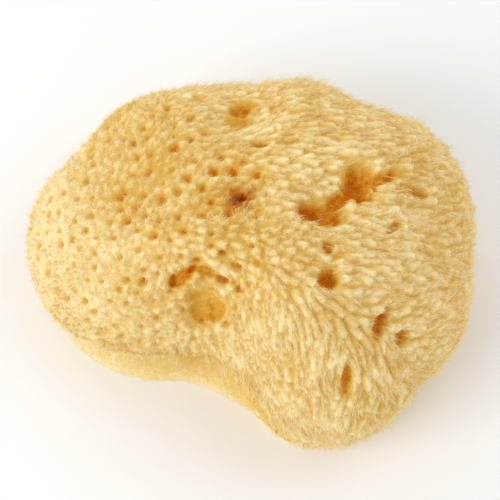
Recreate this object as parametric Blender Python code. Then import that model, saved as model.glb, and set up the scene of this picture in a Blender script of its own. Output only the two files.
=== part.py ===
"""A natural bath sponge: one grown lump, cut off flat where it stood on the sea bed.

The body is a closed form over the directions of a sphere. Each direction has an azimuth, which
picks a radius from the plan outline, and a slope, which runs from the crown over the widest ring
and down to the cut. Broad lumps and hollows are added to it, then the tufts and pores of its skin.
The oscula, the large holes, are cut out of it. The cut face lies on z = 0.
"""

import math

import bmesh
import bpy
import numpy as np

# Driving dimensions, in metres
CROWN_HEIGHT = 0.057
SUNK = 0.007  # how far the round underside would reach below the cut

# The plan outline every 18 degrees, anticlockwise from +X: radius and height of the widest ring
RING_STEP = 18.0
RING = [
    (0.0592, 0.024),
    (0.0626, 0.025),
    (0.0620, 0.026),
    (0.0552, 0.026),
    (0.0558, 0.025),
    (0.0526, 0.024),
    (0.0550, 0.023),
    (0.0598, 0.022),
    (0.0595, 0.020),
    (0.0628, 0.018),
    (0.0592, 0.017),
    (0.0516, 0.017),
    (0.0400, 0.018),
    (0.0284, 0.018),
    (0.0272, 0.018),
    (0.0337, 0.020),
    (0.0510, 0.023),
    (0.0558, 0.024),
    (0.0555, 0.024),
    (0.0590, 0.024),
]

# How square the slopes are: powers of the sine and cosine of the slope angle
SHOULDER_POWER = 0.80
FLANK_POWER = 0.75
FOOT_POWER = 0.85
ROUND_RADIUS = 0.048  # the outline's turns die away towards a round crown of this radius

# The notch at the front, where the slope above the ledge is gentler
NOTCH_AZIMUTH = 250.0
NOTCH_HALF_WIDTH = 36.0
NOTCH_SLOPE = 1.2
NOTCH_SHOULDER = 0.45

# The ledge at the front left: a groove under the overhang, and a lip below it
LEDGE_AZIMUTH = 240.0
LEDGE_HALF_WIDTH = 55.0
GROOVE_DEPTH = 0.0060
GROOVE_LEVEL = 0.62  # as a share of the widest ring's height
LIP_REACH = 0.0060
LIP_LEVEL = 0.10
LEDGE_SOFTNESS = 0.24

# Broad swellings and hollows of the upper side: plan x, plan y, radius, rise
LUMPS = [
    (-0.036, 0.012, 0.022, -0.0060),
    (0.034, 0.022, 0.022, 0.0020),
    (0.024, -0.028, 0.020, 0.0030),
    (-0.003, 0.034, 0.009, -0.0050),
    (-0.003, 0.010, 0.010, -0.0030),
    (0.022, 0.003, 0.009, -0.0030),
    (-0.014, -0.016, 0.008, -0.0020),
    (0.044, 0.006, 0.005, -0.0025),
    (0.039, -0.030, 0.004, -0.0025),
    (0.0235, -0.0405, 0.004, -0.0025),
    (0.0195, -0.0105, 0.003, -0.0020),
]
LUMP_FADE = 0.33  # of the slope's sine, below which the lumps die away to the widest ring

# The skin: its tufts stand on every second crossing of the grid, with pores between them
GRID = 28  # cells along each edge of the cube that the sphere's directions are laid out on
CROWDING = 0.26  # how far the crossings are drawn up towards the crown
JITTER = 0.36  # of a cell
TUFT_RISE = (0.0005, 0.0019)
PORE_DEPTH = (0.0008, 0.0028)
SADDLE_DEPTH = 0.0003
SKIN_FADE = 0.004  # the tufts and pores die away over this height above the cut
SMOOTH_SIDE = 0.35  # share of the tufts' rise that is left at the smoother end, at -X
SMOOTH_REACH = 0.050
SEED = 11

# The oscula: plan x, plan y, half length, half width, turn in degrees, depth
OSCULA = {
    "cleft_near": (0.0155, -0.0005, 0.0048, 0.0026, 8.0, 0.009),
    "cleft_far": (0.0272, 0.0080, 0.0043, 0.0041, 15.0, 0.010),
    "cleft_neck": (0.0215, 0.0034, 0.0042, 0.0015, 38.0, 0.006),
    "cleft_tail": (0.0347, 0.0111, 0.0054, 0.0013, 25.0, 0.006),
    "cluster_upper": (-0.0172, -0.0149, 0.0038, 0.0022, 30.0, 0.008),
    "cluster_lower": (-0.0108, -0.0180, 0.0033, 0.0026, 100.0, 0.007),
    "square_hole": (0.0192, -0.0179, 0.0027, 0.0020, 85.0, 0.009),
    "slit_hole": (0.0315, -0.0263, 0.0031, 0.0014, 72.0, 0.008),
    "crown_hole": (-0.0027, 0.0368, 0.0036, 0.0024, 15.0, 0.006),
    "stained_hole": (-0.0030, 0.0062, 0.0020, 0.0015, -30.0, 0.004),
}
MOUTH_SPREAD = 1.25  # a hole's plug is this much wider than the hole, since it narrows downwards
RAGGED = 0.12  # how unevenly a hole's wall runs, as a share of its width
PLUG_WAIST = 0.78  # the plug's width half way down, as a share of that at its top
LEAN = 6.0  # radians of lean outwards for each metre away from the middle
FINE_PLUG = 0.0040  # plugs longer than twice this get a finer round

# Colour of dry spongin
SPONGE_COLOUR = (0.80, 0.58, 0.25, 1.0)
SPONGE_ROUGHNESS = 0.9


def ring_value(azimuth, column):
    """The outline's radius (column 0) or height (column 1), by a smooth curve through RING."""
    values = np.array([entry[column] for entry in RING])
    place = (azimuth % 360.0) / RING_STEP
    index = np.floor(place).astype(int)
    part = place - index
    before, here, after, beyond = (values[(index + k) % len(values)] for k in (-1, 0, 1, 2))
    return 0.5 * (
        2 * here
        + (after - before) * part
        + (2 * before - 5 * here + 4 * after - beyond) * part**2
        + (3 * here - before - 3 * after + beyond) * part**3
    )


def bell(distance, width):
    """A smooth hump, 1 at distance 0 and near 0 past twice the width."""
    return np.exp(-((distance / width) ** 2))


def ledge_share(azimuth):
    """How strongly the ledge shows at an azimuth, from 0 to 1."""
    away = (azimuth - LEDGE_AZIMUTH + 180.0) % 360.0 - 180.0
    return np.clip(1 - (away / LEDGE_HALF_WIDTH) ** 2, 0, 1) ** 0.5


def body_points(directions):
    """The smooth body's point for each unit direction."""
    angle = np.arctan2(directions[:, 1], directions[:, 0])
    azimuth = np.degrees(angle)
    across = np.hypot(directions[:, 0], directions[:, 1])
    rise = np.abs(directions[:, 2])
    upper = directions[:, 2] >= 0
    outline = ring_value(azimuth, 0)
    level = ring_value(azimuth, 1)
    radius = np.where(upper, ROUND_RADIUS + (outline - ROUND_RADIUS) * across, outline)
    notch = bell((azimuth - NOTCH_AZIMUTH + 180.0) % 360.0 - 180.0, NOTCH_HALF_WIDTH)
    reach = radius * across ** np.where(upper, SHOULDER_POWER + NOTCH_SHOULDER * notch, FLANK_POWER)
    up = level + (CROWN_HEIGHT - level) * rise ** (1 + NOTCH_SLOPE * notch)
    down = level - (level + SUNK) * rise**FOOT_POWER
    height = np.where(upper, up, down)
    share = np.where(upper, 0.0, ledge_share(azimuth))
    reach += share * LIP_REACH * bell(height / level - LIP_LEVEL, LEDGE_SOFTNESS)
    reach -= share * GROOVE_DEPTH * bell(height / level - GROOVE_LEVEL, LEDGE_SOFTNESS)
    points = np.stack([reach * np.cos(angle), reach * np.sin(angle), height], axis=1)
    kept = np.where(upper, np.minimum(1, rise / LUMP_FADE), 0)
    for x, y, width, lift in LUMPS:
        away = np.hypot(points[:, 0] - x, points[:, 1] - y)
        points[:, 2] += kept * lift * bell(away, width)
    return points


def cube_directions():
    """Directions and faces of a sphere laid out on a cube, and each crossing's row and column."""
    line = np.tan(np.linspace(-1, 1, GRID + 1) * math.pi / 4)
    row, column = np.meshgrid(np.arange(GRID + 1), np.arange(GRID + 1), indexing="ij")
    directions, parities, faces = [], [], []
    for axis in range(3):
        for side in (1, -1):
            first, second = line[row], line[column] * side
            square = np.stack([np.full(first.shape, float(side)), first, second], axis=-1)
            index = np.arange(square[..., 0].size).reshape(square.shape[:2])
            index = index + len(directions) * index.size
            directions.append(np.roll(square, axis, axis=-1).reshape(-1, 3))
            parities.append(np.stack([row % 2, column % 2], axis=-1).reshape(-1, 2))
            corners = [index[:-1, :-1], index[1:, :-1], index[1:, 1:], index[:-1, 1:]]
            faces.append(np.stack(corners, axis=-1).reshape(-1, 4))
    directions = np.concatenate(directions)
    directions /= np.linalg.norm(directions, axis=1, keepdims=True)
    keys = np.round(directions * 1e5).astype(int)
    _, kept, merged = np.unique(keys, axis=0, return_index=True, return_inverse=True)
    faces = merged.reshape(-1)[np.concatenate(faces)]
    return directions[kept], faces, np.concatenate(parities)[kept].sum(axis=1)


def normals_of(points, faces):
    """Outward unit normals of the points, from the faces around each."""
    corners = points[faces]
    face_normals = np.cross(corners[:, 2] - corners[:, 0], corners[:, 3] - corners[:, 1])
    normals = np.zeros_like(points)
    for corner in range(4):
        np.add.at(normals, faces[:, corner], face_normals)
    return normals / np.linalg.norm(normals, axis=1, keepdims=True)


def skin_rise(points, directions, parity, random):
    """How far each crossing stands off the smooth body: tufts up, pores down.

    The relief dies away at the cut and is left off the lip. The tufts are lower at the smooth end.
    """
    spread = random.random(len(parity))
    rough = np.clip(1 + points[:, 0] / SMOOTH_REACH, SMOOTH_SIDE, 1)
    tuft = (TUFT_RISE[0] + (TUFT_RISE[1] - TUFT_RISE[0]) * spread) * rough
    pore = -(PORE_DEPTH[0] + (PORE_DEPTH[1] - PORE_DEPTH[0]) * spread**2)
    relief = np.select([parity == 0, parity == 2], [tuft, pore], -SADDLE_DEPTH)
    fade = np.clip(points[:, 2] / SKIN_FADE, 0, 1)
    azimuth = np.degrees(np.arctan2(points[:, 1], points[:, 0]))
    lip = np.where(directions[:, 2] < 0, ledge_share(azimuth), 0.0)
    return relief * fade * (1 - lip)


def body_mesh():
    """The body with its tufts and pores, before the cut and the oscula."""
    random = np.random.default_rng(SEED)
    directions, faces, parity = cube_directions()
    cell = (math.pi / 2) / GRID
    directions = directions + random.uniform(-JITTER, JITTER, directions.shape) * cell
    directions[:, 2] += CROWDING
    directions /= np.linalg.norm(directions, axis=1, keepdims=True)
    points = body_points(directions)
    rise = skin_rise(points, directions, parity, random)
    points += normals_of(points, faces) * rise[:, None]
    return points, faces


def surface_height(x, y):
    """Height of the smooth upper side over a plan point, found from the crown outwards."""
    angle = math.atan2(y, x)
    across = np.linspace(0, 1, 400)
    up = np.sqrt(1 - across**2)
    trail = body_points(np.stack([across * math.cos(angle), across * math.sin(angle), up], axis=1))
    reach = np.hypot(trail[:, 0], trail[:, 1])
    return float(np.interp(math.hypot(x, y), reach, trail[:, 2]))


def link(name, mesh):
    """A new object of the scene with this mesh."""
    made = bpy.data.objects.new(name, mesh)
    bpy.context.scene.collection.objects.link(made)
    return made


def osculum_cutter(name, x, y, half_length, half_width, turn, depth):
    """A hole's cutter: a rounded, uneven plug that narrows as it goes down."""
    random = np.random.default_rng(SEED + round(depth / half_width))
    mesh = bpy.data.meshes.new(name)
    plug = bmesh.new()
    fineness = 2 if half_length > FINE_PLUG else 1
    bmesh.ops.create_icosphere(plug, subdivisions=fineness, radius=1.0)
    for vertex in plug.verts:
        spread = MOUTH_SPREAD * (PLUG_WAIST + (1 - PLUG_WAIST) * vertex.co.z)
        spread *= 1 + random.uniform(-RAGGED, RAGGED)
        vertex.co.x *= half_length * spread
        vertex.co.y *= half_width * spread
        vertex.co.z *= depth
    plug.to_mesh(mesh)
    plug.free()
    cutter = link(name, mesh)
    cutter.location = (x, y, surface_height(x, y))
    cutter.rotation_euler = (-y * LEAN, x * LEAN, math.radians(turn))
    cutter.hide_render = True
    cutter.display_type = "WIRE"
    return cutter


def sponge_material():
    """Dry spongin: pale yellow and quite rough."""
    material = bpy.data.materials.new("dry_spongin")
    material.use_nodes = True
    shader = material.node_tree.nodes["Principled BSDF"]
    shader.inputs["Base Color"].default_value = SPONGE_COLOUR
    shader.inputs["Roughness"].default_value = SPONGE_ROUGHNESS
    shader.inputs["Metallic"].default_value = 0.0
    return material


def cut_flat(mesh):
    """Cut the mesh off at z = 0 and close it with the face it rests on."""
    body = bmesh.new()
    body.from_mesh(mesh)
    bmesh.ops.triangulate(body, faces=body.faces[:])
    bmesh.ops.bisect_plane(
        body,
        geom=body.verts[:] + body.edges[:] + body.faces[:],
        dist=1e-6,
        plane_co=(0, 0, 0),
        plane_no=(0, 0, 1),
        clear_inner=True,
    )
    rim = [edge for edge in body.edges if edge.is_boundary]
    bmesh.ops.holes_fill(body, edges=rim, sides=0)
    bmesh.ops.recalc_face_normals(body, faces=body.faces[:])
    body.to_mesh(mesh)
    body.free()


def build_sponge():
    """The sponge's one object, cut flat on the floor and centred over the origin."""
    points, faces = body_mesh()
    middle = (points.max(axis=0) + points.min(axis=0))[:2] / 2
    points[:, :2] -= middle
    mesh = bpy.data.meshes.new("sponge")
    mesh.from_pydata(points.tolist(), [], faces.tolist())
    cut_flat(mesh)
    sponge = link("sponge", mesh)
    sponge.data.materials.append(sponge_material())
    for name, sizes in OSCULA.items():
        cutter = osculum_cutter(name + "_cutter", *sizes)
        cutter.location.x -= middle[0]
        cutter.location.y -= middle[1]
        hole = sponge.modifiers.new(name, "BOOLEAN")
        hole.operation = "DIFFERENCE"
        hole.solver = "EXACT"
        hole.object = cutter
    return sponge


def main():
    for old in list(bpy.data.objects):
        bpy.data.objects.remove(old)
    build_sponge()


main()
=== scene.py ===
"""The looks of a natural bath sponge: its skin of pits and locks, and its fibre tufts.

The sponge is one grown lump. Here it is a closed skin with pores and large holes, the oscula, and
four joined meshes of fibres that stand on the skin in tufts. Everything is worked out as whole
numpy arrays from one smooth form, which is the form that the frame's solid has. Lengths are metres.
"""

import logging
import math
from collections.abc import Iterator
from dataclasses import dataclass, field
from enum import Enum

import bpy
import numpy as np
from mathutils import Matrix, Vector


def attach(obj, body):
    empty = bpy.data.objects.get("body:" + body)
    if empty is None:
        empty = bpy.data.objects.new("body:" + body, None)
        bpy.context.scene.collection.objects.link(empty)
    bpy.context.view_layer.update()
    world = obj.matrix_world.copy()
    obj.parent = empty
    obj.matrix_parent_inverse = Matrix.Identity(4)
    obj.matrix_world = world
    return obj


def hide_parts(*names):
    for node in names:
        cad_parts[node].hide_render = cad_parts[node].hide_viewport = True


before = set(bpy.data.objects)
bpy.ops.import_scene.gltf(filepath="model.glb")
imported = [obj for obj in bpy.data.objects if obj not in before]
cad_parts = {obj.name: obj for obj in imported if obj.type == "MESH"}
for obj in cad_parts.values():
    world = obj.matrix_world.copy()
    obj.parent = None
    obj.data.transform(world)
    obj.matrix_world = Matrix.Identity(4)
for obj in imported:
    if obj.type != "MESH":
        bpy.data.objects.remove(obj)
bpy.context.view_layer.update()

log = logging.getLogger("sponge")

Array = np.ndarray
Pair = tuple[float, float]
Colour = tuple[float, float, float]

MM = 0.001
BLOCK = 4000  # points in one table of distances


def bell(distance: Array, width: float) -> Array:
    """A smooth hump, exp(-(distance / width)^2): 1 in its middle, about a third at its width."""
    return np.exp(-((distance / width) ** 2))


def smooth_step(low: float, high: float, value: Array) -> Array:
    """A smooth rise from 0 at low to 1 at high, 3 t^2 - 2 t^3 with t the share of the way."""
    share = np.clip((value - low) / (high - low), 0.0, 1.0)
    return share * share * (3.0 - 2.0 * share)


def unit(vectors: Array) -> Array:
    """The vectors at length 1, each divided by its norm."""
    return vectors / np.maximum(np.linalg.norm(vectors, axis=1, keepdims=True), 1e-12)


def azimuth_of(points: Array) -> Array:
    """Degrees anticlockwise from +X, by the arc tangent of y over x."""
    return np.degrees(np.arctan2(points[:, 1], points[:, 0]))


def turned_from(azimuth: Array, middle: float) -> Array:
    """How far each azimuth is turned from another, from -180 to 180 degrees."""
    return (azimuth - middle + 180.0) % 360.0 - 180.0


def lattice_noise(points: Array, cell: float, seed: int) -> Array:
    """Smooth noise in space: random values on a cubic lattice, blended by smooth weights.

    Args:
        points: Points in space, one row each.
        cell: The lattice's spacing.
        seed: Picks the lattice's values.

    Returns:
        The noise at each point, from -1 to 1.
    """
    size = 32
    values = np.random.default_rng(seed).uniform(-1.0, 1.0, (size, size, size))
    place = points / cell + size / 2
    corner = np.floor(place).astype(int)
    part = place - corner
    part = part * part * (3.0 - 2.0 * part)
    total = np.zeros(len(points))
    for dx in (0, 1):
        for dy in (0, 1):
            for dz in (0, 1):
                weight = (
                    np.abs(1 - dx - part[:, 0])
                    * np.abs(1 - dy - part[:, 1])
                    * np.abs(1 - dz - part[:, 2])
                )
                index = (corner + np.array([dx, dy, dz])) % size
                total += weight * values[index[:, 0], index[:, 1], index[:, 2]]
    return total


def gap_tables(points: Array, sites: Array) -> Iterator[Array]:
    """Squared distances from blocks of points to all sites, less each point's own square.

    The formula is s.s - 2 p.s, which is smallest at the site nearest to the point.

    Args:
        points: Points in space, one row each.
        sites: The sites, one row each.

    Yields:
        One table for each block, with a row for each point and a column for each site.
    """
    square = (sites**2).sum(axis=1)
    for start in range(0, len(points), BLOCK):
        yield square - 2.0 * points[start:start + BLOCK] @ sites.T


def nearest(points: Array, sites: Array) -> tuple[Array, Array]:
    """The nearest site to each point, by the least of the squared distances.

    Args:
        points: Points in space, one row each.
        sites: The sites, one row each.

    Returns:
        The distance to the nearest site, and that site's index.
    """
    found = [(table.min(axis=1), table.argmin(axis=1)) for table in gap_tables(points, sites)]
    least, index = (np.concatenate(column) for column in zip(*found))
    return np.sqrt(np.maximum(least + (points**2).sum(axis=1), 0.0)), index


def nearest_few(points: Array, sites: Array, count: int) -> Array:
    """The indices of the few nearest sites to each point, in no order, one row for each point."""
    tables = gap_tables(points, sites)
    return np.concatenate([np.argpartition(each, count, axis=1)[:, :count] for each in tables])


def spaced(candidates: Array, spacing: Array) -> Array:
    """Picks candidates in turn, each only if no earlier pick is nearer than its spacing.

    Args:
        candidates: Points in space, one row each, in random order.
        spacing: The least distance that each candidate keeps.

    Returns:
        The indices of the picked candidates.
    """
    picked = np.zeros((len(candidates), 3))
    order = []
    for index, point in enumerate(candidates):
        kept = picked[:len(order)]
        if len(order) and ((kept - point) ** 2).sum(axis=1).min() < spacing[index] ** 2:
            continue
        picked[len(order)] = point
        order.append(index)
    return np.array(order)


def make_mesh(name: str, points: Array, faces: Array) -> bpy.types.Object:
    """A smooth-shaded mesh object at the origin, from arrays.

    Args:
        name: The object's name.
        points: Vertex positions.
        faces: Vertex indices of each face, all with the same number of corners.

    Returns:
        The new object.
    """
    mesh = bpy.data.meshes.new(name)
    count, corners = faces.shape
    mesh.vertices.add(len(points))
    mesh.vertices.foreach_set("co", points.astype(np.float32).ravel())
    mesh.loops.add(count * corners)
    mesh.loops.foreach_set("vertex_index", faces.astype(np.int32).ravel())
    mesh.polygons.add(count)
    mesh.polygons.foreach_set("loop_start", np.arange(count, dtype=np.int32) * corners)
    mesh.polygons.foreach_set("use_smooth", np.ones(count, dtype=bool))
    mesh.update(calc_edges=True)
    made = bpy.data.objects.new(name, mesh)
    bpy.context.scene.collection.objects.link(made)
    return made


def add_mask(piece: bpy.types.Object, name: str, values: Array) -> None:
    """Stores one number for each vertex, which the material reads by name."""
    layer = piece.data.attributes.new(name, "FLOAT", "POINT")
    layer.data.foreach_set("value", values.astype(np.float32))


class Side(Enum):
    """The sector of the sponge that a mesh of tufts covers, by its middle azimuth in degrees."""

    RIGHT = 0
    BACK = 90
    LEFT = 180
    FRONT = 270


@dataclass(frozen=True)
class Osculum:
    """A large hole in millimetres and degrees: plan place, half length and width, turn, depth.

    Its glow is the share by which the painted shade at its bottom stays paler than the deepest
    brown.
    """

    x: float
    y: float
    half_length: float
    half_width: float
    turn: float
    depth: float
    glow: float = 0.0

    def reach(self, points: Array, ragged: Array) -> Array:
        """How far each point is from the hole's axis, as a share of the way to its rim.

        The formula is sqrt((u / a)^2 + (v / b)^2) + ragged, with u and v the plan distances along
        and across the hole, and a and b its half length and half width.

        Args:
            points: Points of the smooth form.
            ragged: Noise that makes the rim uneven.

        Returns:
            0 on the axis, 1 on the rim.
        """
        angle = math.radians(self.turn)
        east, north = points[:, 0] - self.x * MM, points[:, 1] - self.y * MM
        along = east * math.cos(angle) + north * math.sin(angle)
        over = north * math.cos(angle) - east * math.sin(angle)
        return np.hypot(along / (self.half_length * MM), over / (self.half_width * MM)) + ragged


@dataclass
class Form:
    """The sponge's smooth form over the directions of a sphere, as the frame's solid has it."""

    crown_height: float = 57 * MM
    sunk: float = 7 * MM
    ring_step: float = 18.0
    ring_radius: tuple[float, ...] = (  # millimetres, at every ring step from +X
        59.2, 62.6, 62.0, 55.2, 55.8, 52.6, 55.0, 59.8, 59.5, 62.8,
        59.2, 51.6, 40.0, 28.4, 27.2, 33.7, 51.0, 55.8, 55.5, 59.0,
    )
    ring_height: tuple[float, ...] = (
        24, 25, 26, 26, 25, 24, 23, 22, 20, 18, 17, 17, 18, 18, 18, 20, 23, 24, 24, 24,
    )
    shoulder_power: float = 0.80
    flank_power: float = 0.75
    foot_power: float = 0.85
    round_radius: float = 48 * MM
    ledge_azimuth: float = 240.0
    ledge_half_width: float = 55.0
    groove_depth: float = 6.0 * MM
    groove_level: float = 0.62
    lip_reach: float = 6.0 * MM
    lip_level: float = 0.10
    ledge_softness: float = 0.24
    notch_azimuth: float = 250.0
    notch_half_width: float = 36.0
    notch_slope: float = 1.2
    notch_shoulder: float = 0.45
    lump_fade: float = 0.33
    lumps: tuple[tuple[float, ...], ...] = (  # plan place, radius and rise, millimetres
        (-36, 12, 22, -6.0),
        (34, 22, 22, 2.0),
        (24, -28, 20, 3.0),
        (-3, 34, 9, -5.0),
        (-3, 10, 10, -3.0),
        (22, 3, 9, -3.0),
        (-14, -16, 8, -2.0),
        (44, 6, 5, -2.5),
        (39, -30, 4, -2.5),
        (23.5, -40.5, 4, -2.5),
        (19.5, -10.5, 3, -2.0),
    )
    plan_shift: Pair = (0.06 * MM, 2.38 * MM)

    def outline(self, azimuth: Array, knots: tuple[float, ...]) -> Array:
        """A smooth closed curve through knots, the cubic that meets each with even slopes.

        Args:
            azimuth: Degrees anticlockwise from +X.
            knots: Values in millimetres at every ring step.

        Returns:
            The curve's value at each azimuth, in metres.
        """
        values = np.array(knots) * MM
        place = (azimuth % 360.0) / self.ring_step
        index = np.floor(place).astype(int)
        part = place - index
        before, here, after, beyond = (values[(index + k) % len(values)] for k in (-1, 0, 1, 2))
        return 0.5 * (
            2 * here
            + (after - before) * part
            + (2 * before - 5 * here + 4 * after - beyond) * part**2
            + (3 * here - before - 3 * after + beyond) * part**3
        )

    def ledge(self, azimuth: Array) -> Array:
        """How strongly the ledge shows, sqrt(1 - (away / half width)^2), from 0 to 1."""
        away = turned_from(azimuth, self.ledge_azimuth)
        return np.sqrt(np.clip(1 - (away / self.ledge_half_width) ** 2, 0, 1))

    def points(self, directions: Array) -> Array:
        """The form's point for each unit direction.

        The direction's azimuth picks the outline's radius and height. Its sine and cosine of
        slope, raised to the shoulder, flank and foot powers, run from the crown over the widest
        ring to the foot, more gently in the notch. A groove and a lip are taken from and added to
        the reach as bells of the height, and the lumps are added to the height as bells of the
        plan distance.

        Args:
            directions: Unit vectors, one row each.

        Returns:
            The points before the plan shift, one row each.
        """
        angle = np.arctan2(directions[:, 1], directions[:, 0])
        azimuth = azimuth_of(directions)
        across = np.hypot(directions[:, 0], directions[:, 1])
        rise = np.abs(directions[:, 2])
        upper = directions[:, 2] >= 0
        outline = self.outline(azimuth, self.ring_radius)
        level = self.outline(azimuth, self.ring_height)
        rounded = self.round_radius + (outline - self.round_radius) * across
        radius = np.where(upper, rounded, outline)
        notch = bell(turned_from(azimuth, self.notch_azimuth), self.notch_half_width)
        ease = 1 + self.notch_slope * notch
        shoulder = self.shoulder_power + self.notch_shoulder * notch
        reach = radius * across ** np.where(upper, shoulder, self.flank_power)
        up = level + (self.crown_height - level) * rise**ease
        down = level - (level + self.sunk) * rise**self.foot_power
        height = np.where(upper, up, down)
        share = np.where(upper, 0.0, self.ledge(azimuth))
        reach += share * self.lip_reach * bell(height / level - self.lip_level, self.ledge_softness)
        groove = bell(height / level - self.groove_level, self.ledge_softness)
        reach -= share * self.groove_depth * groove
        points = np.stack([reach * np.cos(angle), reach * np.sin(angle), height], axis=1)
        kept = np.where(upper, np.minimum(1, rise / self.lump_fade) ** ease, 0)
        for x, y, width, lift in self.lumps:
            away = np.hypot(points[:, 0] - x * MM, points[:, 1] - y * MM)
            points[:, 2] += kept * lift * MM * bell(away, width * MM)
        return points


@dataclass
class Skin:
    """The closed skin: pits, locks and oscula on the smooth form, cut flat at the floor."""

    form: Form
    grid: int = 128
    crowding: float = 0.26
    sink: float = 1.7 * MM
    fade_height: float = 3.0 * MM
    pore_draws: int = 12000
    pore_spacing: float = 4.6 * MM
    pore_radius: Pair = (0.85 * MM, 1.70 * MM)
    pore_depth: Pair = (0.6 * MM, 1.5 * MM)
    marked_pores: tuple[tuple[float, float, float], ...] = (  # plan place and depth, millimetres
        (-20.2, 23.0, 1.6), (-14.6, 17.9, 1.2), (-9.6, 14.2, 1.4), (-20.8, 16.1, 0.9),
        (-23.4, 8.1, 1.6), (-28.3, 10.8, 1.2), (-34.0, 12.5, 1.9), (-29.7, 7.1, 1.0),
        (-32.5, 4.1, 1.4), (-19.1, 2.1, 1.1), (-12.4, 1.2, 1.2), (-23.7, 1.9, 0.9),
        (-17.7, -3.0, 1.3), (-29.6, 0.2, 1.0), (-25.3, -2.5, 1.3), (-12.2, 9.6, 1.3),
        (-27.1, 17.3, 1.1),
    )
    pore_closing: float = 1.18  # no pore opens where this times the shagginess is over 1
    shaggy_from: Pair = (-24 * MM, 14 * MM)
    shag_patches: Pair = (6 * MM, 17 * MM)  # amount and cell of the noise
    shag_off_middle: float = 0.36
    lock_draws: int = 34000
    lock_spacing: float = 2.2 * MM
    lock_front: float = 1.1 * MM
    lock_back: Pair = (1.3 * MM, 4.0 * MM)
    lock_width: float = 1.20 * MM
    lock_rise: Pair = (0.65 * MM, 1.15 * MM)
    comb_turns: tuple[float, float, float] = (-12.0, 24.0, -74.0)  # above, more right, in front
    comb_right: Pair = (25 * MM, 45 * MM)
    comb_front: Pair = (-8 * MM, -28 * MM)
    comb_lean: float = 1.6
    parting: tuple[float, float, float] = (8 * MM, -10 * MM, 17 * MM)  # plan place and width
    skin_shear: float = 0.25
    grain: Pair = (0.14 * MM, 1.1 * MM)  # height and cell of the noise
    swell: Pair = (0.50 * MM, 4.5 * MM)
    hole_wall: Pair = (1.15, 0.55)  # reach at its top and at its foot
    # painted light: the colour turns paler towards the left and the front, where the key light
    # falls
    painted_light_left: Pair = (-28 * MM, -60 * MM)
    painted_light_front: Pair = (-16 * MM, -44 * MM)
    seed: int = 5
    oscula: tuple[Osculum, ...] = (
        Osculum(19.0, 1.6, 5.4, 3.0, 0.0, 3.2, 0.15),
        Osculum(15.8, 1.8, 3.3, 2.9, 8.0, 5.4, 0.0),
        Osculum(28.6, 10.9, 4.8, 5.0, 15.0, 4.0, 0.0),
        Osculum(27.0, 9.4, 3.6, 4.2, 15.0, 6.2, 0.0),
        Osculum(22.6, 5.6, 4.0, 1.8, 38.0, 3.0, 0.18),
        Osculum(33.8, 12.3, 6.8, 1.8, 28.0, 2.8, 0.25),
        Osculum(-19.7, -14.5, 1.6, 1.1, 60.0, 2.8, 0.1),
        Osculum(-14.7, -12.5, 1.7, 0.9, 20.0, 3.0, 0.1),
        Osculum(-17.2, -13.9, 3.8, 1.5, 20.0, 1.6, 0.35),
        Osculum(-11.0, -12.8, 3.8, 1.0, -10.0, 1.4, 0.4),
        Osculum(-7.4, -14.2, 1.7, 0.8, -20.0, 2.0, 0.3),
        Osculum(-3.8, -16.4, 1.2, 0.8, -40.0, 1.6, 0.3),
        Osculum(-11.6, -17.8, 4.4, 2.8, -10.0, 2.4, 0.5),
        Osculum(-9.5, -18.5, 2.4, 2.1, 100.0, 3.2, 0.45),
        Osculum(19.7, -17.0, 3.3, 2.8, 85.0, 4.6, 0.12),
        Osculum(19.6, -8.2, 1.4, 1.2, 85.0, 1.6, 0.45),
        Osculum(34.0, -26.0, 4.1, 1.5, 70.0, 4.4, 0.05),
        Osculum(38.9, -27.8, 1.9, 1.4, 40.0, 2.4, 0.4),
        Osculum(24.4, -39.0, 2.6, 1.4, 80.0, 2.0, 0.30),
        Osculum(43.7, 10.6, 2.6, 1.2, -10.0, 2.0, 0.5),
        Osculum(36.9, -0.8, 2.8, 1.0, 50.0, 1.8, 0.55),
        Osculum(-2.7, 37.4, 3.6, 2.0, 10.0, 2.2, 0.32),
        Osculum(-3.2, 32.6, 3.2, 3.4, 60.0, 1.0, 0.5),
        Osculum(1.8, 21.9, 2.8, 0.9, -8.0, 1.8, 0.3),
        Osculum(-2.9, 7.0, 1.9, 1.3, -30.0, 2.4, 0.1),
    )
    hole_floor: Pair = (22 * MM, 28 * MM)
    stain_place: Pair = (-2.8 * MM, 6.1 * MM)
    stain_width: float = 3.0 * MM
    directions: Array = field(init=False)
    faces: Array = field(init=False)
    smooth: Array = field(init=False)
    normals: Array = field(init=False)
    pores: Array = field(init=False)
    pore_radii: Array = field(init=False)
    pore_depths: Array = field(init=False)
    sites: Array = field(init=False)
    sizes: Array = field(init=False)
    points: Array = field(init=False)
    skin_normals: Array = field(init=False)
    depth: Array = field(init=False)
    opening: Array = field(init=False)
    stain: Array = field(init=False)

    def __post_init__(self) -> None:
        """Works out the grid, the smooth form under the skin, the sites and the relief."""
        self.directions, self.faces = self.cube_grid()
        self.smooth = self.form.points(self.directions)
        self.normals = unit(self.evened(self.normals_of(self.smooth), 4))
        self.smooth[:, 2] = np.maximum(self.smooth[:, 2], 0.0)
        self.choose_sites()
        self.relief()
        self.skin_normals = self.normals_of(self.points)

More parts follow.
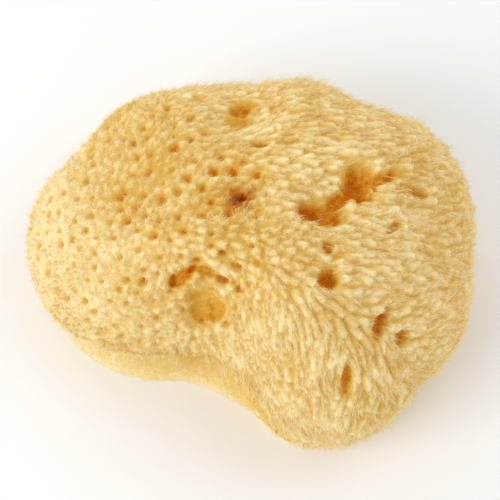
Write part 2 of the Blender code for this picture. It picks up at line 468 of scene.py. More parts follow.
    def cube_grid(self) -> tuple[Array, Array]:
        """A sphere's directions on the six faces of a cube, with even angles along each edge.

        Returns:
            The unit directions, drawn up towards the crown, and the four corners of each face.
        """
        line = np.tan(np.linspace(-1, 1, self.grid + 1) * math.pi / 4)
        row, column = np.meshgrid(
            np.arange(self.grid + 1), np.arange(self.grid + 1), indexing="ij"
        )
        directions, faces = [], []
        for axis in range(3):
            for side in (1, -1):
                first, second = line[row], line[column] * side
                square = np.stack([np.full(first.shape, float(side)), first, second], axis=-1)
                index = np.arange(first.size).reshape(first.shape)
                index = index + len(directions) * first.size
                directions.append(np.roll(square, axis, axis=-1).reshape(-1, 3))
                corners = [index[:-1, :-1], index[1:, :-1], index[1:, 1:], index[:-1, 1:]]
                faces.append(np.stack(corners, axis=-1).reshape(-1, 4))
        directions = unit(np.concatenate(directions))
        keys = np.round(directions * 1e5).astype(int)
        _, kept, merged = np.unique(keys, axis=0, return_index=True, return_inverse=True)
        directions = directions[kept]
        directions[:, 2] += self.crowding
        return unit(directions), merged.reshape(-1)[np.concatenate(faces)]

    def crossed(self, points: Array) -> Array:
        """The cross product of each face's diagonals: outward, and twice its area long."""
        corners = points[self.faces]
        return np.cross(corners[:, 2] - corners[:, 0], corners[:, 3] - corners[:, 1])

    def normals_of(self, points: Array) -> Array:
        """Outward unit normals: the sum of the crossed diagonals of the faces at each point."""
        across = self.crossed(points)
        total = np.zeros_like(points)
        for corner in range(4):
            for axis in range(3):
                total[:, axis] += np.bincount(
                    self.faces[:, corner], across[:, axis], minlength=len(points)
                )
        return unit(total)

    def evened(self, vectors: Array, rounds: int) -> Array:
        """Vectors at the vertices, each replaced by the mean over the faces around it.

        Args:
            vectors: One row for each vertex.
            rounds: How many times the mean is taken.

        Returns:
            The evened vectors.
        """
        shares = np.bincount(self.faces.ravel(), minlength=len(vectors))
        for _ in range(rounds):
            middle = vectors[self.faces].mean(axis=1).repeat(4, axis=0)
            sums = [
                np.bincount(self.faces.ravel(), middle[:, axis], minlength=len(vectors)) / shares
                for axis in range(3)
            ]
            vectors = np.stack(sums, axis=1)
        return vectors

    def crease(self, index: Array) -> Array:
        """How near each vertex is to the crease over the ledge, from 0 to 1."""
        rise = self.directions[index, 2]
        near = bell(rise, np.where(rise > 0, 0.28, 0.08))
        return self.form.ledge(azimuth_of(self.smooth[index])) * near

    def scatter(self, count: int, random: np.random.Generator) -> Array:
        """Random vertices, each as likely as the area of the faces around it.

        Args:
            count: How many to draw.
            random: Where the draws come from.

        Returns:
            Vertex indices above the cut, in random order.
        """
        area = np.linalg.norm(self.crossed(self.smooth), axis=1)
        area[self.smooth[self.faces, 2].min(axis=1) < 0.5 * MM] = 0.0
        face = random.choice(len(area), size=count, p=area / area.sum())
        return self.faces[face, random.integers(0, 4, count)]

    def lip(self, index: Array) -> Array:
        """How much each vertex belongs to the smooth band under the ledge, from 0 to 1."""
        below = smooth_step(0.05, -0.10, self.directions[index, 2])
        return self.form.ledge(azimuth_of(self.smooth[index])) * below

    def shagginess(self, points: Array) -> Array:
        """How shaggy the skin is, from 0 on the smooth left lobe to 1 on the rest of it."""
        amount, cell = self.shag_patches
        place = points[:, 0] + self.shag_off_middle * np.abs(points[:, 1])
        place += amount * lattice_noise(points, cell, self.seed + 3)
        return smooth_step(*self.shaggy_from, place)

    def hole_reach(self, points: Array) -> Array:
        """The least reach over all oscula at each point: under 1 inside a hole."""
        ragged = self.raggedness(points)
        reaches = [hole.reach(points, ragged) for hole in self.oscula]
        return np.where(points[:, 2] > self.hole_floor[0], np.min(reaches, axis=0), 9.0)

    def raggedness(self, points: Array) -> Array:
        """Noise of two sizes that makes the rims of the holes uneven."""
        coarse = lattice_noise(points, 2.2 * MM, self.seed + 1)
        fine = lattice_noise(points, 0.9 * MM, self.seed + 2)
        return 0.28 * coarse + 0.16 * fine

    def above(self, places: Array) -> Array:
        """The vertex nearest to each plan place, on the upper side of the smooth form."""
        plan = self.smooth * np.array([1.0, 1.0, 0.0])
        plan[self.smooth[:, 2] < 20 * MM] += 1.0
        flat = np.column_stack([places, np.zeros(len(places))])
        return np.array([((plan - place) ** 2).sum(axis=1).argmin() for place in flat])

    def choose_sites(self) -> None:
        """Places the marked pores, scatters the others, then the locks around them."""
        random = np.random.default_rng(self.seed)
        marked = np.array(self.marked_pores) * MM
        index = self.scatter(self.pore_draws, random)
        shag = self.shagginess(self.smooth[index])
        closed = self.pore_closing * shag + 1.6 * self.lip(index) + self.crease(index)
        wanted = random.random(len(index)) > closed
        index = index[wanted & (self.hole_reach(self.smooth[index]) > 1.3)]
        index = np.concatenate([self.above(marked[:, :2]), index])
        spread = random.uniform(0.75, 1.35, len(index))
        spread[:len(marked)] = 0.1
        kept = spaced(self.smooth[index], self.pore_spacing * spread)
        self.pores = self.smooth[index[kept]]
        size = random.random(len(kept)) ** 1.5
        self.pore_radii = self.pore_radius[0] + np.diff(self.pore_radius)[0] * size
        self.pore_radii[:len(marked)] = 1.2 * marked[:, 2]
        self.pore_depths = self.pore_depth[0] + np.diff(self.pore_depth)[0] * size
        self.pore_depths[:len(marked)] = marked[:, 2]

        index = self.scatter(self.lock_draws, random)
        clear = self.hole_reach(self.smooth[index]) > 1.25
        clear &= random.random(len(index)) > 1.2 * self.lip(index)
        gap, pore = nearest(self.smooth[index], self.pores)
        index = index[clear & (gap > self.pore_radii[pore] + 0.5 * MM)]
        spread = random.uniform(0.75, 1.20, len(index))
        self.sites = index[spaced(self.smooth[index], self.lock_spacing * spread)]
        self.sizes = random.uniform(0.65, 1.30, len(self.sites))

    def combed(self, index: Array) -> tuple[Array, Array, Array]:
        """Which way and how far the locks lean, more where the skin is shaggy.

        They lie towards +X on the upper side and on the right, and turn down towards -Y at the
        front. The lean is the comb lean times the share of that way which lies in the skin, so
        locks stand out where they meet the flanks, and at the parting between the two ways.

        Args:
            index: Vertex indices.

        Returns:
            Tangents along the comb, tangents across it, and the lean as a share of the height.
        """
        place, normal = self.smooth[index], self.normals[index]
        patchy = lattice_noise(place, 9 * MM, self.seed + 8)
        swirl = 16.0 * lattice_noise(place, 7 * MM, self.seed + 9)
        swirl += 26.0 * lattice_noise(place, 2.5 * MM, self.seed + 10)
        above, right, front = self.comb_turns
        turn = above + right * smooth_step(*self.comb_right, place[:, 0])
        turn += front * smooth_step(*self.comb_front, place[:, 1] + 0.35 * place[:, 0])
        turn = np.radians(turn + swirl)
        out = np.stack([np.cos(turn), 0.9 * np.sin(turn), 0.42 * np.sin(turn)], axis=1)
        out -= normal * (out * normal).sum(axis=1, keepdims=True)
        share = np.linalg.norm(out, axis=1)
        out /= np.maximum(share, 1e-9)[:, None]
        east, north, width = self.parting
        parted = bell(np.hypot(place[:, 0] - east, place[:, 1] - north), width)
        lean = share * (0.12 + 0.88 * self.shagginess(place))
        lean = lean * (1 + 0.3 * patchy) * (1 - 0.7 * parted)
        return out, np.cross(normal, out), self.comb_lean * lean

    def lock_back_of(self, lean: Array, size: Array) -> Array:
        """How far each lock reaches behind its top: more where it leans, in step with its size."""
        return (self.lock_back[0] + np.diff(self.lock_back)[0] * lean / self.comb_lean) * size

    def lock_height(
        self, along: Array, over: Array, lean: Array, shag: Array, size: Array
    ) -> Array:
        """A lock's height, rise (1 - (u / a)^2) (1 - (v / b)^2), longer behind its top than before.

        Args:
            along: Distance u from the lock's top, the way that it is combed.
            over: Distance v across it, against its half width b.
            lean: How far the lock leans, which sets the length behind its top.
            shag: How shaggy the skin is, which sets the rise.
            size: The lock's own size, about 1.

        Returns:
            The height at each place, never below 0.
        """
        back = self.lock_back_of(lean, size)
        reach = np.where(along > 0, self.lock_front, back)
        rise = (self.lock_rise[0] + np.diff(self.lock_rise)[0] * shag) * size
        narrow = 1.0 + 0.35 * np.clip(-along / back, 0, 1)
        across = np.clip(1 - (over * narrow / (self.lock_width * size)) ** 2, 0, 1)
        return rise * np.clip(1 - (along / reach) ** 2, 0, 1) * across

    def locks(self) -> Array:
        """The height of the locks over each vertex: the tallest of the nine nearest ones."""
        out, aside, lean = self.combed(self.sites)
        place = self.smooth[self.sites]
        shag = self.shagginess(place)
        tallest = np.zeros(len(self.smooth))
        for owner in nearest_few(self.smooth, place, 9).T:
            offset = self.smooth - place[owner]
            along = (offset * out[owner]).sum(axis=1)
            over = (offset * aside[owner]).sum(axis=1)
            height = self.lock_height(along, over, lean[owner], shag[owner], self.sizes[owner])
            tallest = np.maximum(tallest, height)
        return tallest

    def relief(self) -> None:
        """Works out where each vertex of the skin lies, its depth mask of painted light and shade,
        and how open it is.

        The offset along the normal is minus the sink, plus the locks, minus a rounded pit at each
        pore, plus fine noise. It fades out at the cut and in the oscula. The locks are sheared
        along the way that they are combed. Then the oscula are pushed in, and the crease over the
        ledge is evened.
        """
        points, every = self.smooth, np.arange(len(self.smooth))
        crease, lip = self.crease(every), self.lip(every)
        calm = smooth_step(0.85, 1.35, self.hole_reach(points))
        gap, pore = nearest(points, self.pores)
        warp = 0.20 * lattice_noise(points, 1.3 * MM, self.seed + 4)
        pit = smooth_step(1.25, 0.15, gap / self.pore_radii[pore] + warp) * calm
        rise = self.locks() * calm * (1 - 0.8 * pit) * (1 - 0.5 * crease)
        fall = self.pore_depths[pore] * pit
        grain = self.grain[0] * lattice_noise(points, self.grain[1], self.seed + 5)
        swell = self.swell[0] * lattice_noise(points, self.swell[1], self.seed + 6)
        fade = smooth_step(0.0, self.fade_height, points[:, 2])
        offset = (rise - fall + grain + swell) * (1 - 0.8 * lip) - self.sink * (1 - 0.55 * lip)
        moved = points + self.normals * (offset * fade)[:, None]
        out, _, lean = self.combed(every)
        moved += out * (self.skin_shear * lean * rise * fade * (1 - lip))[:, None]
        push, hole_shade = self.pushed_in()
        moved -= push
        moved += crease[:, None] * (self.evened(moved, 5) - moved)
        moved[:, 2] = np.where(points[:, 2] <= 0.0, 0.0, np.maximum(moved[:, 2], 0.0))
        self.points = moved
        strength = np.clip(self.pore_depths[pore] / self.pore_depth[1], 0, 1)
        crest = rise / self.lock_rise[1]
        self.depth = self.depth_mask(crest, pit, strength, hole_shade)
        self.opening = np.maximum(pit, hole_shade)
        self.stain = self.stain_at(points)

    def pushed_in(self) -> tuple[Array, Array]:
        """How far the oscula open each vertex, and how much painted shade they give it, from the
        one that is deepest there.

        Each is its depth times a smooth step of its reach. The push is against a direction between
        the upright, the way out and the normal.

        Returns:
            The way that each vertex is pushed, and the painted shade of its hole from 0 to 1.
        """
        points = self.smooth
        ragged = self.raggedness(points)
        upper = smooth_step(*self.hole_floor, points[:, 2])
        deepest = np.zeros(len(points))
        hole_shade = np.zeros(len(points))
        for hole in self.oscula:
            bore = smooth_step(*self.hole_wall, hole.reach(points, ragged)) * upper
            down = hole.depth * MM * bore
            taken = down > deepest
            deepest = np.where(taken, down, deepest)
            # painted shade: the colour darkens down each hole, less where the hole's glow is high
            hole_shade = np.where(taken, bore * (1 - hole.glow), hole_shade)
        inward = points * np.array([4.0, 4.0, 0.0]) + np.array([0.0, 0.0, 1.0])
        return unit(inward + 0.8 * self.normals) * deepest[:, None], hole_shade

    def depth_mask(self, crest: Array, pit: Array, strength: Array, hole_shade: Array) -> Array:
        """How deep each vertex looks, which the colour ramp paints as light and shade: 0 on the
        palest tips, 1 at the bottom of the oscula.

        It falls with the crest, a painted highlight on the locks, and grows with the pit and the
        hole shade, painted shade in the pores and oscula. The lip has painted shade above, under
        the overhang, and painted light below. The left and the front get painted light where the
        key light falls, and the skin round the stain is darker.

        Args:
            crest: The height of the locks, as a share of the tallest.
            pit: How far each vertex is down a pore, from 0 to 1.
            strength: How deep that pore is, from 0 to 1.
            hole_shade: How dark its osculum is painted, the painted shade from 0 to 1.

        Returns:
            The mask.
        """
        points = self.smooth
        lip = self.lip(np.arange(len(points)))
        # painted highlight on the lock tops and painted shade in the pores
        depth = 0.60 - 0.42 * crest + (0.18 + 0.22 * strength) * pit
        # painted shade under the ledge's overhang, painted light lower down the lip
        depth += lip * (0.34 * smooth_step(3 * MM, 12 * MM, points[:, 2]) - 0.18)
        # painted light: paler towards the left and the front, where the key light falls
        pale = 0.26 * smooth_step(*self.painted_light_left, points[:, 0])
        pale += 0.16 * smooth_step(*self.painted_light_front, points[:, 1] + 0.9 * points[:, 0])
        depth -= pale * (1 - 0.6 * pit)
        depth += 0.30 * bell(self.from_stain(points), 2 * self.stain_width)
        # painted shade at the bottom of the oscula
        return np.clip(depth + 0.50 * hole_shade, 0, 1.0)

    def from_stain(self, points: Array) -> Array:
        """The plan distance of each point from the middle of the stain."""
        return np.hypot(points[:, 0] - self.stain_place[0], points[:, 1] - self.stain_place[1])

    def stain_at(self, points: Array) -> Array:
        """A small brown spot with speckles: a bell in plan, broken up by fine noise."""
        speckle = 0.6 + 0.9 * lattice_noise(points, 0.8 * MM, self.seed + 7)
        upper = points[:, 2] > 20 * MM
        spot = bell(self.from_stain(points), self.stain_width)
        return np.clip(spot * 1.5 * speckle, 0, 1) * upper

    def shifted(self, points: Array) -> Array:
        """Points moved in plan, so that the solid's box is centred over the origin."""
        return points - np.array([*self.form.plan_shift, 0.0])

    def build(self) -> bpy.types.Object:
        """Makes the skin's object, which stands for the frame's solid.

        Returns:
            The skin, with its depth and stain masks.
        """
        piece = make_mesh("sponge_skin", self.shifted(self.points), self.faces)
        add_mask(piece, "depth", self.depth)
        add_mask(piece, "stain", self.stain)
        return piece


@dataclass
class Tufts:
    """The fibres: curved strands in a fringe over each lock, and short straight fuzz between."""

    skin: Skin
    strands_in_all: int = 38000
    fuzz_in_all: int = 98000
    length: Pair = (1.3 * MM, 3.3 * MM)
    gather: float = 0.88
    strand_radius: Pair = (0.075 * MM, 0.055 * MM)
    fuzz_length: Pair = (0.9 * MM, 1.9 * MM)
    fuzz_radius: float = 0.050 * MM
    stray_share: float = 0.09
    # painted shade at the strand roots and painted highlight at the tips
    strand_painted_shades: tuple[float, ...] = (0.62, 0.22, 0.0)  # depth at each triangle and the tip
    seed: int = 23

    def sectors(self) -> dict[Side, Array]:
        """Shares the locks out among four equal sectors, in the order of their azimuths."""
        place = self.skin.smooth[self.skin.sites]
        azimuth = (azimuth_of(place) + 45.0) % 360.0
        parts = np.array_split(np.argsort(azimuth), len(Side))
        return dict(zip(Side, parts))

    def strands(
        self, locks: Array, random: np.random.Generator
    ) -> tuple[Array, Array, Array, Array]:
        """Curved strands over some locks: root, bend, reach and stain of each.

        A strand's spine is root + 2 t (1 - t) bend + t^2 reach, with t from 0 at its root to 1 at
        its tip. The roots lie on the lock, and the tips gather past its front in a fringe.

        Args:
            locks: Which of the skin's locks to cover.
            random: Where the draws come from.

        Returns:
            Roots, bends and reaches, one row each, and how stained each strand is.
        """
        skin = self.skin
        index = skin.sites[locks]
        count = self.strands_in_all // len(Side)
        fringe = skin.crease(index) * (skin.directions[index, 2] > -0.02)
        odds = 1 + 3.0 * fringe
        owner = np.sort(random.choice(len(index), count, p=odds / odds.sum()))
        site = index[owner]
        size = skin.sizes[locks][owner]
        normal = skin.normals[site]
        out, aside, lean = (values[owner] for values in skin.combed(index))
        shag = skin.shagginess(skin.smooth[index])[owner]
        lip = skin.lip(index)[owner]
        back = skin.lock_back_of(lean, size)
        along = 0.7 * skin.lock_front - random.random(count) ** 1.5 * back
        over = random.uniform(-0.8, 0.8, count) * skin.lock_width * size
        height = skin.lock_height(along, over, lean, shag, size)
        stand = height * (1 - 0.8 * lip) - skin.sink * (1 - 0.55 * lip) - 0.12 * MM
        root = skin.smooth[site] + out * along[:, None] + aside * over[:, None]
        root += normal * stand[:, None] + out * (skin.skin_shear * lean * height)[:, None]

        each = random.uniform(*self.length, len(index))[owner]
        fringe = fringe[owner]
        length = each * random.uniform(0.6, 1.2, count) * (0.70 + 0.30 * shag) * (1 - 0.5 * lip)
        length *= 0.72 + 0.38 * np.minimum(lean, 1.6) + 0.5 * fringe
        stray = random.random(count) < self.stray_share
        length *= np.where(stray, 1.25, 1.0)
        own_lean = (lean * random.uniform(0.6, 1.4, len(index))[owner])[:, None]
        own_turn = (0.40 * random.normal(size=len(index))[owner])[:, None]
        tip = normal + out * own_lean + aside * own_turn
        tip[:, 2] += 0.5 * smooth_step(10 * MM, 0.0, skin.smooth[site, 2]) - 0.9 * fringe
        tip = unit(tip)
        wander = random.normal(size=(count, 3)) * ((0.36 - 0.18 * shag) * length)[:, None]
        gather = np.where(stray, -0.3, self.gather)[:, None]
        pull = aside * over[:, None] + out * np.clip(along, -1.3 * MM, 1.3 * MM)[:, None]
        reach = tip * length[:, None] - pull * gather + wander
        bend = (tip - 0.3 * normal) * (0.4 * length)[:, None] + 0.35 * wander[::-1]
        gap, pore = nearest(root + reach, skin.pores)
        over_hole = (skin.hole_reach(root + reach) < 1.0) | (gap < 0.8 * skin.pore_radii[pore])
        reach *= np.where(over_hole, 0.35, 1.0)[:, None]
        bend *= np.where(over_hole, 0.35, 1.0)[:, None]
        return root, bend, reach, 0.85 * skin.stain_at(skin.smooth[site])

    def spikes(
        self, root: Array, bend: Array, reach: Array,
        radii: tuple[float, ...], random: np.random.Generator,
    ) -> tuple[Array, Array, Array]:
        """Closed three-sided spikes along spines, one triangle for each radius and then a point.

        The shading normals point straight away from the spine, and along it at the tip.

        Args:
            root: Where each spine starts.
            bend: Each spine's middle pull.
            reach: From each root to its tip.
            radii: The radius at each triangle, from the root on, at equal steps.
            random: Where the draws come from.

        Returns:
            Vertices, triangles and shading normals.
        """
        count, rings = len(root), len(radii)
        axis = unit(reach)
        side = unit(np.cross(axis, random.normal(size=(count, 3))))
        other = np.cross(axis, side)
        rows, ways = [], []
        for step, radius in enumerate(radii):
            t = step / rings
            spine = root + 2 * t * (1 - t) * bend + t * t * reach
            for phase in np.array([0, 2, 4]) * math.pi / 3:
                ways.append(side * math.cos(phase) + other * math.sin(phase))
                rows.append(spine + radius * ways[-1])
        rows.append(root + reach)
        ways.append(axis)
        points = np.stack(rows, axis=1).reshape(-1, 3)
        points[:, 2] = np.maximum(points[:, 2], 0.15 * MM)
        pattern = [[0, 2, 1]]
        for ring in range(rings - 1):
            for corner in range(3):
                a, b = 3 * ring + corner, 3 * ring + (corner + 1) % 3
                pattern += [[a, b, b + 3], [a, b + 3, a + 3]]
        last = 3 * (rings - 1)
        pattern += [[last + corner, last + (corner + 1) % 3, last + 3] for corner in range(3)]
        size = 3 * rings + 1
        faces = np.arange(count)[:, None, None] * size + np.array(pattern)
        return points, faces.reshape(-1, 3), np.stack(ways, axis=1).reshape(-1, 3)

    def fuzz(
        self, side: Side, random: np.random.Generator
    ) -> tuple[Array, Array, Array, Array]:
        """Short straight fuzz on the finished skin of one sector: root, reach and masks of each.

        Args:
            side: The sector.
            random: Where the draws come from.

        Returns:
            Roots and reaches, one row each, and the skin's depth and stain masks under each.
        """
        skin = self.skin
        index = skin.scatter(self.fuzz_in_all * 2, random)
        near = np.abs(turned_from(azimuth_of(skin.smooth[index]), side.value)) < 45.0
        clear = skin.opening[index] < 0.04 + 0.4 * random.random(len(index)) ** 2
        clear &= random.random(len(index)) > 0.8 * skin.lip(index)
        index = index[near & clear][:self.fuzz_in_all // len(Side)]
        count = len(index)
        out, aside, lean = skin.combed(index)
        turn = random.uniform(0, 2 * math.pi, (count, 1))
        loose = 1.0 - 0.7 * skin.shagginess(skin.smooth[index])[:, None]
        way = loose * (out * np.cos(turn) + aside * np.sin(turn)) + out * lean[:, None]
        way += skin.skin_normals[index] * random.uniform(0.35, 0.95, (count, 1))
        way += random.normal(scale=0.15, size=(count, 3))
        way = unit(way)
        length = random.uniform(*self.fuzz_length, count)[:, None] * (0.65 + 0.35 * loose)
        jitter = random.uniform(-0.3 * MM, 0.3 * MM, (count, 3))
        root = skin.points[index] + jitter - skin.skin_normals[index] * 0.10 * MM
        return root, way * length, skin.depth[index], skin.stain[index]

    def build(self, side: Side, locks: Array) -> bpy.types.Object:
        """Makes one sector's strands and fuzz as one joined mesh.

        Args:
            side: The sector, which names the piece.
            locks: Which of the skin's locks it covers.

        Returns:
            The sector's object.
        """
        random = np.random.default_rng(self.seed + side.value)
        root, bend, reach, stain = self.strands(locks, random)
        points, faces, normals = self.spikes(root, bend, reach, self.strand_radius, random)
        fuzz_root, fuzz_reach, under, fuzz_stain = self.fuzz(side, random)
        fuzz_points, fuzz_faces, fuzz_normals = self.spikes(
            fuzz_root, fuzz_reach / 2, fuzz_reach, (self.fuzz_radius,), random
        )
        faces = np.concatenate([faces, fuzz_faces + len(points)])
        points = np.concatenate([points, fuzz_points])
        piece = make_mesh("tufts_" + side.name.lower(), self.skin.shifted(points), faces)
        piece.data.normals_split_custom_set_from_vertices(np.concatenate([normals, fuzz_normals]))
        shade = random.uniform(-0.10, 0.10, len(root)) + 0.5 * stain
        # painted shade at each strand's root and painted highlight at its tip
        depth = shade[:, None] + np.repeat(self.strand_painted_shades, (3, 3, 1))
        # painted light: the fuzz is paler than the skin under it, with a painted highlight at its
        # tip
        under = under - 0.10 + random.uniform(-0.12, 0.12, len(under))
        fuzz_depth = under[:, None] - np.array([0.0, 0.0, 0.0, 0.30])
        add_mask(piece, "depth", np.concatenate([depth.ravel(), fuzz_depth.ravel()]))
        stains = np.concatenate([np.repeat(stain, 7), np.repeat(fuzz_stain, 4)])
        add_mask(piece, "stain", stains)
        return piece


@dataclass(frozen=True)
class SponginFinish:
    """Dry spongin: painted light on pale tips, honey between them, painted shade of orange and
    brown inside the holes, and a painted glow.
    """

    name: str = "dry_spongin"
    # a ramp by the depth mask: the pale tip paints light, the pit and deep colours paint shade on
    # the honey spongin
    tip: Colour = (0.86, 0.75, 0.46)
    fibre: Colour = (0.74, 0.565, 0.225)
    hollow: Colour = (0.66, 0.44, 0.105)
    pit: Colour = (0.60, 0.31, 0.035)
    deep: Colour = (0.52, 0.155, 0.006)
    stain: Colour = (0.30, 0.055, 0.012)
    # painted glow: emission that stands in for light seeping through the fibres, richer in the
    # holes
    pale_glow: Colour = (0.70, 0.43, 0.09)
    pit_glow: Colour = (0.75, 0.38, 0.04)
    deep_glow: Colour = (0.85, 0.22, 0.006)
    stain_glow: Colour = (0.35, 0.04, 0.0)
    roughness: float = 0.85
    gloss: float = 0.0
    subsurface: float = 0.45
    glow: float = 0.14
    patch_size: float = 90.0
    patch_share: float = 0.26
    felt_size: float = 1100.0
    felt_share: float = 0.30
    bump: float = 0.10
    seep: tuple[float, float, float] = (1.0, 0.70, 0.28)
    seep_scale: float = 2.2 * MM

    def variation_group(self) -> bpy.types.NodeTree:
        """A node group that puts out patchy light and dark, and a web of fine fibres.

        Returns:
            The group, with Patch Size and Felt Size in, and Patches and Felt out.
        """
        if "spongin_variation" in bpy.data.node_groups:
            return bpy.data.node_groups["spongin_variation"]
        group = bpy.data.node_groups.new("spongin_variation", "ShaderNodeTree")
        for label in ("Patch Size", "Felt Size"):
            group.interface.new_socket(label, in_out="INPUT", socket_type="NodeSocketFloat")
        for label in ("Patches", "Felt"):
            group.interface.new_socket(label, in_out="OUTPUT", socket_type="NodeSocketFloat")
        nodes, links = group.nodes, group.links
        entry = nodes.new("NodeGroupInput")
        leave = nodes.new("NodeGroupOutput")
        place = nodes.new("ShaderNodeTexCoord")
        for size, target, detail, twist in (
            ("Patch Size", "Patches", 3.0, 0.0), ("Felt Size", "Felt", 2.0, 1.2)
        ):
            noise = nodes.new("ShaderNodeTexNoise")
            noise.inputs["Detail"].default_value = detail
            noise.inputs["Distortion"].default_value = twist
            links.new(place.outputs["Object"], noise.inputs["Vector"])
            links.new(entry.outputs[size], noise.inputs["Scale"])
            links.new(noise.outputs["Fac"], leave.inputs[target])
        return group

    def depth_value(
        self, nodes: bpy.types.Nodes, links: bpy.types.NodeLinks
    ) -> bpy.types.NodeSocket:
        """The depth mask, with patches and felt added, each spread evenly about nothing.

        Args:
            nodes: The material's nodes.
            links: The material's links.

        Returns:
            The socket that puts out the value.
        """
        depth = nodes.new("ShaderNodeAttribute")
        depth.attribute_name = "depth"
        variation = nodes.new("ShaderNodeGroup")
        variation.name = "variation"
        variation.node_tree = self.variation_group()
        variation.inputs["Patch Size"].default_value = self.patch_size
        variation.inputs["Felt Size"].default_value = self.felt_size
        value = depth.outputs["Fac"]
        for label, share in (("Patches", self.patch_share), ("Felt", self.felt_share)):
            spread = nodes.new("ShaderNodeMapRange")
            spread.inputs["From Min"].default_value = 0.25
            spread.inputs["From Max"].default_value = 0.75
            spread.inputs["To Min"].default_value = -share / 2
            spread.inputs["To Max"].default_value = share / 2
            total = nodes.new("ShaderNodeMath")
            links.new(variation.outputs[label], spread.inputs["Value"])
            links.new(spread.outputs["Result"], total.inputs[0])
            links.new(value, total.inputs[1])
            value = total.outputs[0]
        return value

    def shade(
        self, nodes: bpy.types.Nodes, links: bpy.types.NodeLinks, value: bpy.types.NodeSocket,
        stops: tuple[tuple[float, Colour], ...],
        stain: Colour,
    ) -> bpy.types.NodeSocket:
        """A colour from a ramp of the depth value, blended towards another where it is stained.

        Args:
            nodes: The material's nodes.
            links: The material's links.
            value: The socket with the depth value.
            stops: The ramp's places and colours.
            stain: The colour of a full stain.

        Returns:
            The socket that puts out the colour.
        """
        ramp = nodes.new("ShaderNodeValToRGB")
        places = ramp.color_ramp.elements
        places[0].position, places[1].position = stops[0][0], stops[-1][0]
        places[0].color, places[1].color = (*stops[0][1], 1), (*stops[-1][1], 1)
        for position, colour in stops[1:-1]:
            places.new(position).color = (*colour, 1)
        links.new(value, ramp.inputs["Fac"])
        spot = nodes.new("ShaderNodeAttribute")
        spot.attribute_name = "stain"
        blend = nodes.new("ShaderNodeMix")
        blend.data_type = "RGBA"
        blend.inputs["B"].default_value = (*stain, 1)
        links.new(spot.outputs["Fac"], blend.inputs["Factor"])
        links.new(ramp.outputs["Color"], blend.inputs["A"])
        return blend.outputs["Result"]

    def build(self) -> bpy.types.Material:
        """The material: the colour with its painted light and shade, and a painted glow, emission
        that stands in for the light that seeps through.
        """
        material = bpy.data.materials.new(self.name)
        material.use_nodes = True
        nodes, links = material.node_tree.nodes, material.node_tree.links
        shader = nodes["Principled BSDF"]
        shader.inputs["Roughness"].default_value = self.roughness
        shader.inputs["Specular IOR Level"].default_value = self.gloss
        shader.inputs["Subsurface Weight"].default_value = self.subsurface
        shader.inputs["Subsurface Radius"].default_value = self.seep
        shader.inputs["Subsurface Scale"].default_value = self.seep_scale
        shader.inputs["Emission Strength"].default_value = self.glow
        value = self.depth_value(nodes, links)
        # the colour ramp paints light on the tips and shade in the holes
        colours = (
            (0.12, self.tip), (0.36, self.fibre), (0.62, self.hollow),
            (0.86, self.pit), (1.0, self.deep),
        )
        links.new(self.shade(nodes, links, value, colours, self.stain), shader.inputs["Base Color"])
        # painted glow: emission from a second ramp stands in for the light that seeps through
        glows = ((0.30, self.pale_glow), (0.70, self.pit_glow), (1.0, self.deep_glow))
        glow = self.shade(nodes, links, value, glows, self.stain_glow)
        links.new(glow, shader.inputs["Emission Color"])
        if self.bump:
            bump = nodes.new("ShaderNodeBump")
            bump.inputs["Strength"].default_value = self.bump
            bump.inputs["Distance"].default_value = 0.0003
            links.new(nodes["variation"].outputs["Felt"], bump.inputs["Height"])
            links.new(bump.outputs["Normal"], shader.inputs["Normal"])
        return material


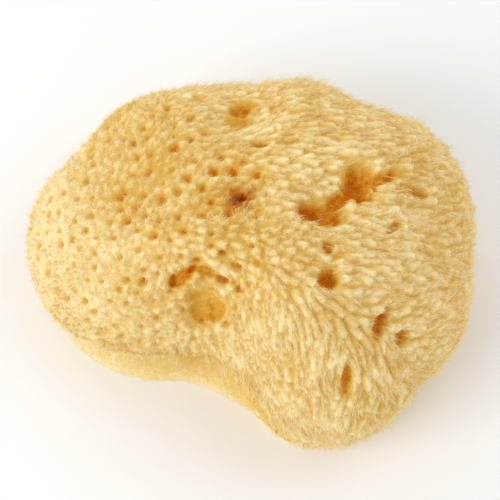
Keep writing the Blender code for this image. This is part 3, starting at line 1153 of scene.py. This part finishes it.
@dataclass
class Studio:
    """The white floor, soft lights and the camera, which looks steeply down from the front."""

    elevation: float = 65.0
    distance: float = 550 * MM
    target: tuple[float, float, float] = (-0.06 * MM, -2.38 * MM, 25 * MM)
    raise_frame: float = 3.97 * MM
    view_width: float = 132.45 * MM
    sensor: float = 36.0
    floor_size: float = 6.0
    floor_white: float = 0.95
    sky: float = 0.64
    lights: tuple[tuple[str, tuple[float, float, float], float, float], ...] = (
        ("key", (-1.08, -0.70, 0.90), 0.9, 10.9),
        ("fill", (0.9, 0.3, 1.2), 1.2, 4.2),
        ("back", (-0.5, 1.1, 0.7), 1.0, 2.8),
    )

    def camera(self) -> None:
        """Places the camera in the plane x = 0, aimed a little above the target."""
        slope = math.radians(self.elevation)
        back = Vector((0.0, -math.cos(slope), math.sin(slope)))
        up = Vector((0.0, math.sin(slope), math.cos(slope)))
        lens = bpy.data.cameras.new("camera")
        lens.sensor_width = self.sensor
        lens.lens = self.sensor * self.distance / self.view_width
        lens.clip_start = 0.01
        seat = bpy.data.objects.new("camera", lens)
        aim = Vector(self.target) + up * self.raise_frame
        seat.matrix_world = Matrix.Translation(aim + back * self.distance) @ Matrix.Rotation(
            math.pi / 2 - slope, 4, "X"
        )
        bpy.context.scene.collection.objects.link(seat)
        bpy.context.scene.camera = seat

    def light(self, name: str, place: Vector, size: float, power: float) -> None:
        """A square soft light that faces the sponge.

        Args:
            name: The light's name.
            place: Where it hangs.
            size: Its side.
            power: Its power in watts.
        """
        lamp = bpy.data.lights.new(name, "AREA")
        lamp.size = size
        lamp.energy = power
        hung = bpy.data.objects.new(name, lamp)
        hung.location = place
        hung.rotation_euler = (Vector(self.target) - place).to_track_quat("-Z", "Y").to_euler()
        bpy.context.scene.collection.objects.link(hung)

    def floor(self) -> None:
        """A plain white floor."""
        side = self.floor_size / 2
        corners = np.array([[-side, -side, 0], [side, -side, 0], [side, side, 0], [-side, side, 0]])
        ground = make_mesh("floor", corners, np.array([[0, 1, 2, 3]]))
        white = bpy.data.materials.new("floor_white")
        white.use_nodes = True
        shader = white.node_tree.nodes["Principled BSDF"]
        shader.inputs["Base Color"].default_value = (*[self.floor_white] * 3, 1)
        shader.inputs["Roughness"].default_value = 0.9
        ground.data.materials.append(white)

    def build(self) -> None:
        """Sets up the whole studio."""
        self.camera()
        self.floor()
        for name, place, size, power in self.lights:
            self.light(name, Vector(place), size, power)
        world = bpy.data.worlds.new("studio")
        world.use_nodes = True
        backing = world.node_tree.nodes["Background"]
        backing.inputs["Color"].default_value = (1.0, 1.0, 1.0, 1)
        backing.inputs["Strength"].default_value = self.sky
        bpy.context.scene.world = world
        bpy.context.scene.view_settings.view_transform = "Standard"


def dress(piece: bpy.types.Object, material: bpy.types.Material) -> None:
    """Gives a piece its material and its body, and hides the frame's solid."""
    piece.data.materials.append(material)
    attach(piece, "root")
    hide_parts("sponge")
    log.info("%s: %d faces", piece.name, len(piece.data.polygons))


def main() -> None:
    """Builds the studio, the skin and the tufts in order."""
    logging.basicConfig(level=logging.INFO, format="%(name)s: %(message)s")
    Studio().build()
    spongin = SponginFinish().build()
    # the fibres: paler tips and a stronger painted glow, emission that stands in for light through
    # the strands
    fibres = SponginFinish(
        "spongin_fibres", tip=(0.95, 0.85, 0.56), subsurface=0.0, glow=0.25, felt_share=0.1,
        bump=0.0,
    ).build()
    skin = Skin(Form())
    log.info("%d pores, %d locks", len(skin.pores), len(skin.sites))
    dress(skin.build(), spongin)
    tufts = Tufts(skin)
    for side, locks in tufts.sectors().items():
        dress(tufts.build(side, locks), fibres)


if __name__ == "__main__":
    main()
